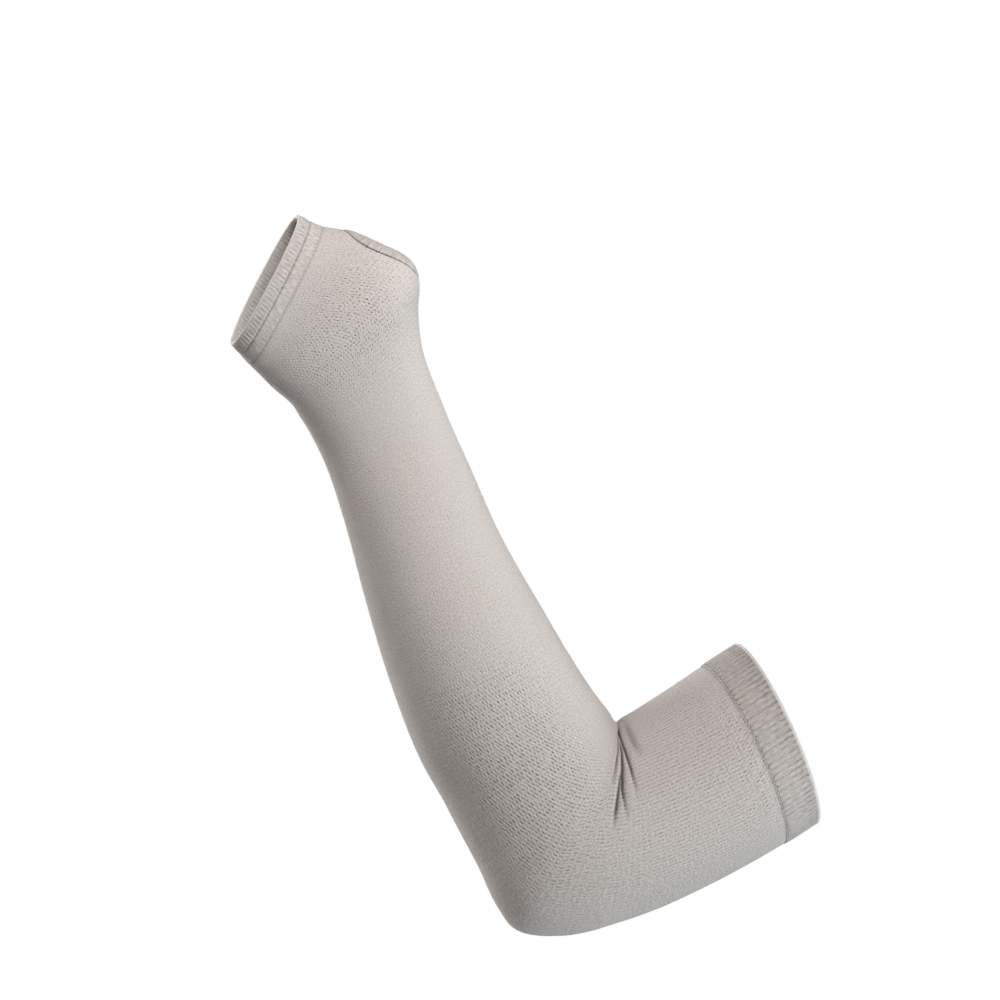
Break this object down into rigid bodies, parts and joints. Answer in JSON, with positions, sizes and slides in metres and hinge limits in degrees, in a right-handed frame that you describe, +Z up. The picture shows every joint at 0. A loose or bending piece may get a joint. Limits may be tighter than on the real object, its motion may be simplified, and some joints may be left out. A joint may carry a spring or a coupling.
{
  "type": "protective sleeve",
  "caption": "Seamless knitted arm sleeve with a ribbed upper-arm cuff, a banded palm edge and a bound thumb hole, in the form it takes on a bent right arm.",
  "frame": {"origin": "middle of the upper-arm opening, where the arm holds the sleeve", "axes": "+X towards the upper-arm opening, +Y away from the palm side, +Z up along the raised forearm"},
  "size_m": [0.2827, 0.1113, 0.3456],
  "materials": {
    "jersey_knit": "matte",
    "rib_knit": "matte",
    "edge_knit": "matte",
    "binding_knit": "matte"
  },
  "bodies": {
    "root": {"upper_arm_tube": "jersey_knit", "elbow_tube": "jersey_knit", "forearm_tube": "jersey_knit", "hand_tube": "jersey_knit", "arm_cuff": "rib_knit", "palm_cuff": "edge_knit", "thumb_binding": "binding_knit"}
  },
  "joints": []
}
